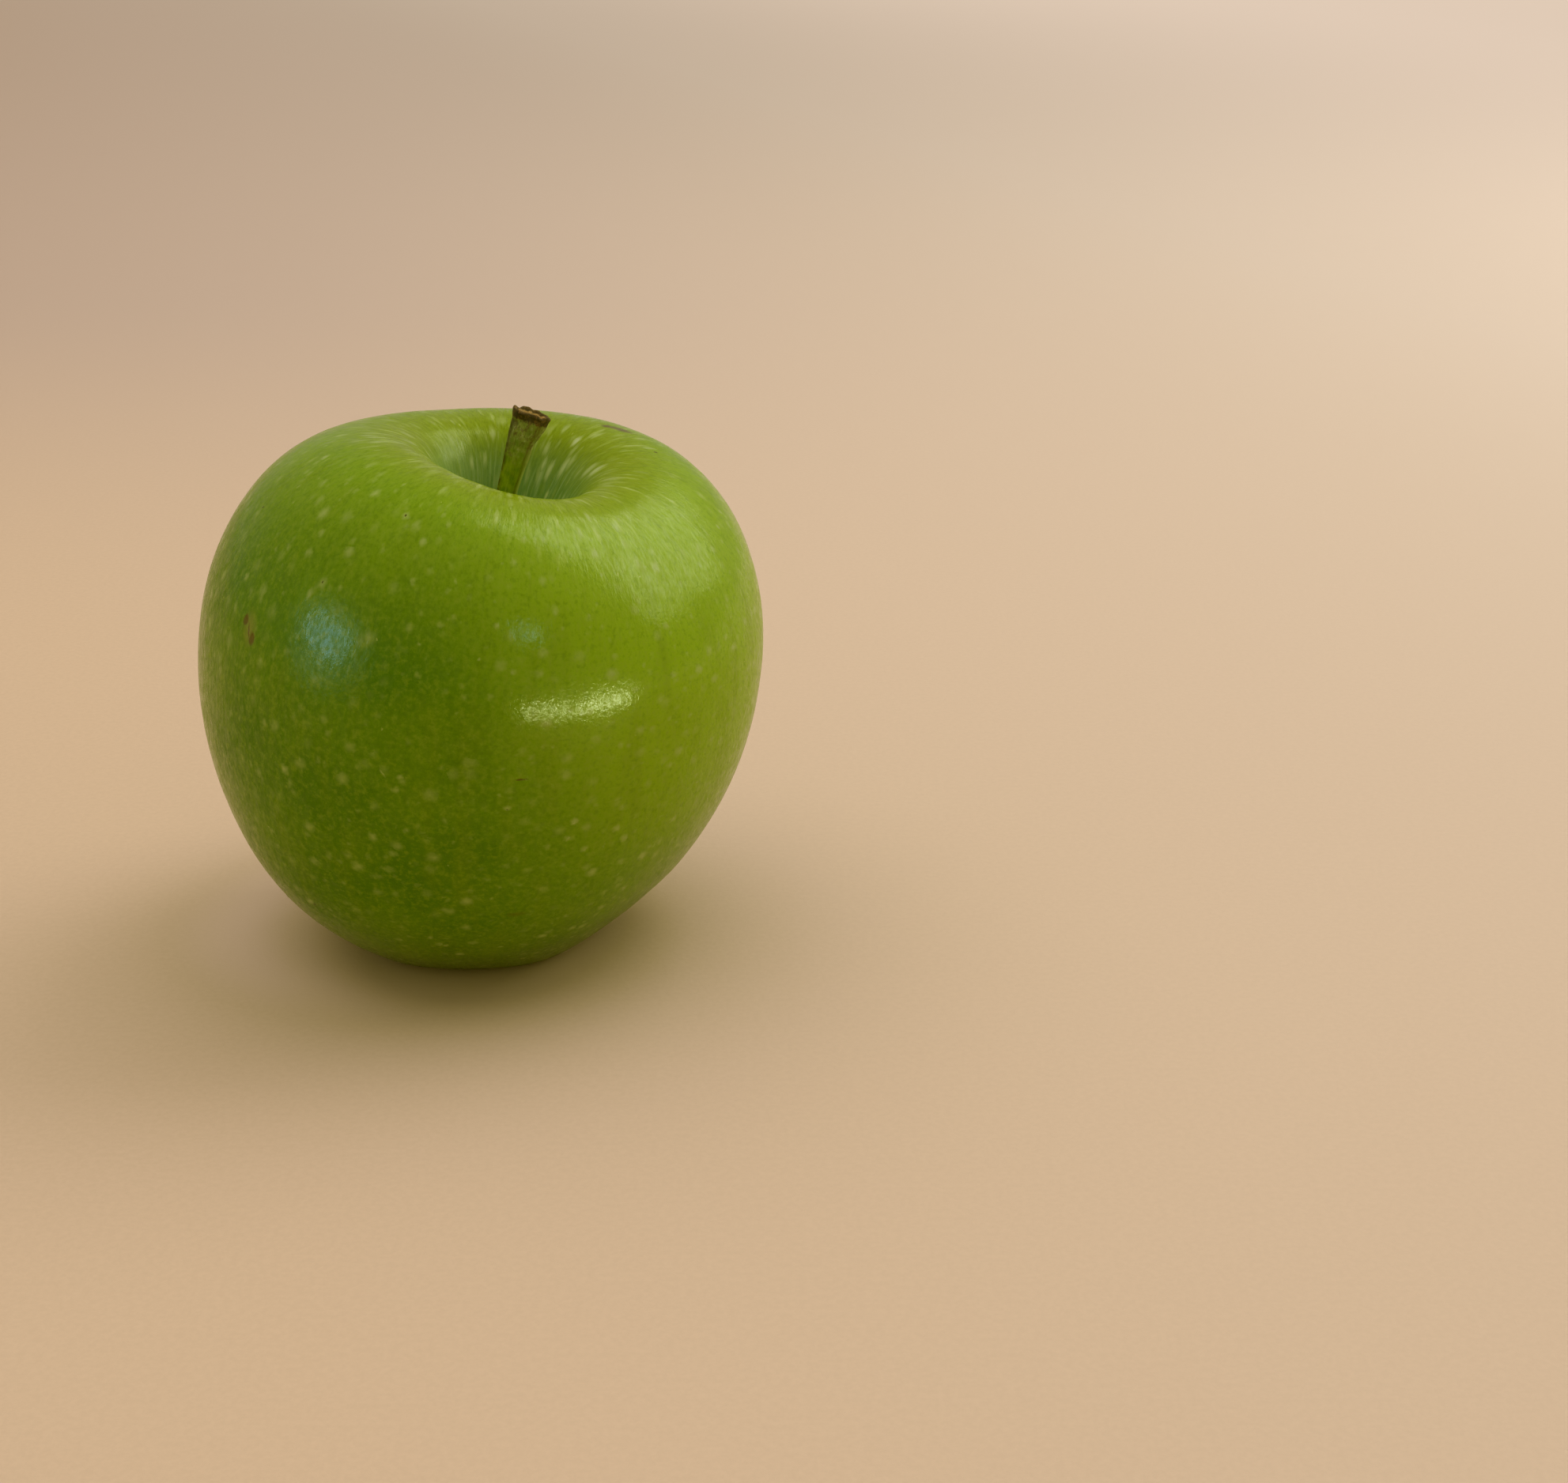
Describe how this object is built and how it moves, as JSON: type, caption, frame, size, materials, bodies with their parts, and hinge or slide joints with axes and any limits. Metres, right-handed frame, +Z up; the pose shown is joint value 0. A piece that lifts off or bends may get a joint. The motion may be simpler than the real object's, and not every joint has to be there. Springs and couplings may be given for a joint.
{
  "type": "green apple",
  "caption": "Whole green apple as picked, with a leaning shoulder, a short woody stalk in its hollow and a dried calyx underneath; stands upright on its lobed base.",
  "frame": {"origin": "on the plane that the apple rests on, under the middle of its bounding box", "axes": "+Z up, towards the stalk; the picture is taken from the -Y side, with +X to its right"},
  "size_m": [0.0761, 0.0772, 0.0738],
  "materials": {
    "skin": "waxy satin green skin with pale dots",
    "stalk_wood": "green-brown woody stalk with a dark broken end",
    "dried_sepal": "dry, downy grey-brown sepals"
  },
  "bodies": {
    "root": {"fruit": "skin", "stalk": "stalk_wood", "calyx": "dried_sepal"}
  },
  "joints": []
}
